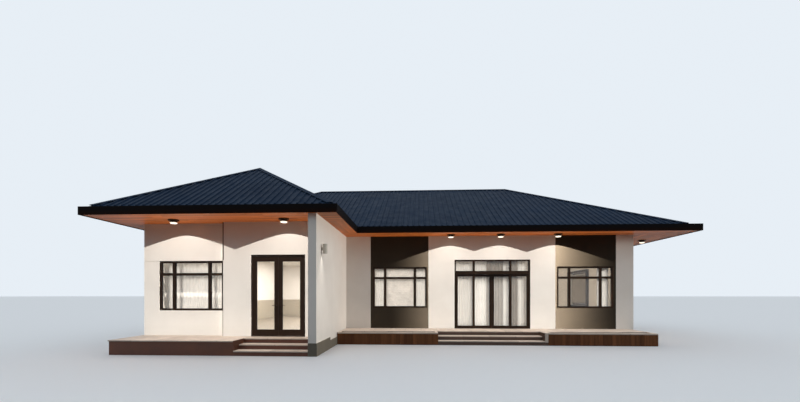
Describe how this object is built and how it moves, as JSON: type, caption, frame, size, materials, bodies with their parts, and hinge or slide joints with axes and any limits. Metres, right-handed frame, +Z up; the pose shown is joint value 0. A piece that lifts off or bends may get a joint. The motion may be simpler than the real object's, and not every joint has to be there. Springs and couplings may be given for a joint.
{
  "type": "bungalow",
  "caption": "Single-storey L-shaped house with a ribbed metal hip roof, deep timber soffits, raised terrace and porch, planters, glazed double door and sliding door.",
  "frame": {"origin": "centre of the eaves' outline in plan, at ground level", "axes": "+X along the street front to the right as seen from the street, -Y towards the street, +Z up"},
  "size_m": [19.12, 14.41, 6.8967],
  "materials": {
    "foundation": "painted cement plinth",
    "floor_tile": "matt floor tile",
    "ceiling_plaster": "painted plaster",
    "terrace_stone": "pale stone treads with brown risers",
    "planter_board": "red-brown boards with a pale coping",
    "wall_render": "smooth painted render",
    "dark_cladding": "charcoal brown render",
    "frame_metal": "dark brown powder coat",
    "window_glass": "clear glazing",
    "soffit_board": "varnished tongue-and-groove boards",
    "fascia_metal": "near-black coated sheet",
    "roof_metal": "dark navy ribbed steel sheet",
    "lamp_metal": "light grey lamp bodies"
  },
  "bodies": {
    "house": {"foundation": "foundation", "floor": "floor_tile", "ceiling": "ceiling_plaster", "terrace": "terrace_stone", "porch": "terrace_stone", "planter_left": "planter_board", "planter_right": "planter_board", "wall_wing_front": "wall_render", "wall_entry_left": "wall_render", "wall_entry_right": "wall_render", "wall_entry_head": "wall_render", "wall_fin": "wall_render", "wall_wing_right": "wall_render", "wall_slider_left": "wall_render", "wall_slider_head": "wall_render", "wall_slider_right": "wall_render", "wall_right": "wall_render", "wall_back": "wall_render", "wall_left": "wall_render", "wall_bay_left": "dark_cladding", "wall_bay_right": "dark_cladding", "window_frames_front": "frame_metal", "window_frames_rear": "frame_metal", "window_glass": "window_glass", "entry_frame": "frame_metal", "slider_frame": "frame_metal", "soffit": "soffit_board", "fascia": "fascia_metal", "ridge_caps": "roof_metal", "downlights": "lamp_metal", "sconce": "lamp_metal", "roof_wing_front": "roof_metal", "roof_wing_right": "roof_metal", "roof_main_front": "roof_metal", "roof_right": "roof_metal", "roof_back": "roof_metal", "roof_left": "roof_metal"},
    "entry_leaf_left": {"entry_leaf_left": "frame_metal", "entry_glass_left": "window_glass"},
    "entry_leaf_right": {"entry_leaf_right": "frame_metal", "entry_glass_right": "window_glass"},
    "slider_panel_left": {"slider_panel_left": "frame_metal", "slider_glass_left": "window_glass"},
    "slider_panel_right": {"slider_panel_right": "frame_metal", "slider_glass_right": "window_glass"}
  },
  "joints": [
    {"name": "entry_hinge_left", "type": "hinge", "parent": "house", "child": "entry_leaf_left", "pos_m": [-5.2215, -5.786, 0.711], "axis": [0, 0, 1], "range_deg": [0, 95]},
    {"name": "entry_hinge_right", "type": "hinge", "parent": "house", "child": "entry_leaf_right", "pos_m": [-3.6285, -5.786, 0.711], "axis": [0, 0, -1], "range_deg": [0, 95]},
    {"name": "slider_track_left", "type": "slide", "parent": "house", "child": "slider_panel_left", "axis": [-1, 0, 0], "range_m": [0, 0.62]},
    {"name": "slider_track_right", "type": "slide", "parent": "house", "child": "slider_panel_right", "axis": [1, 0, 0], "range_m": [0, 0.62]}
  ]
}
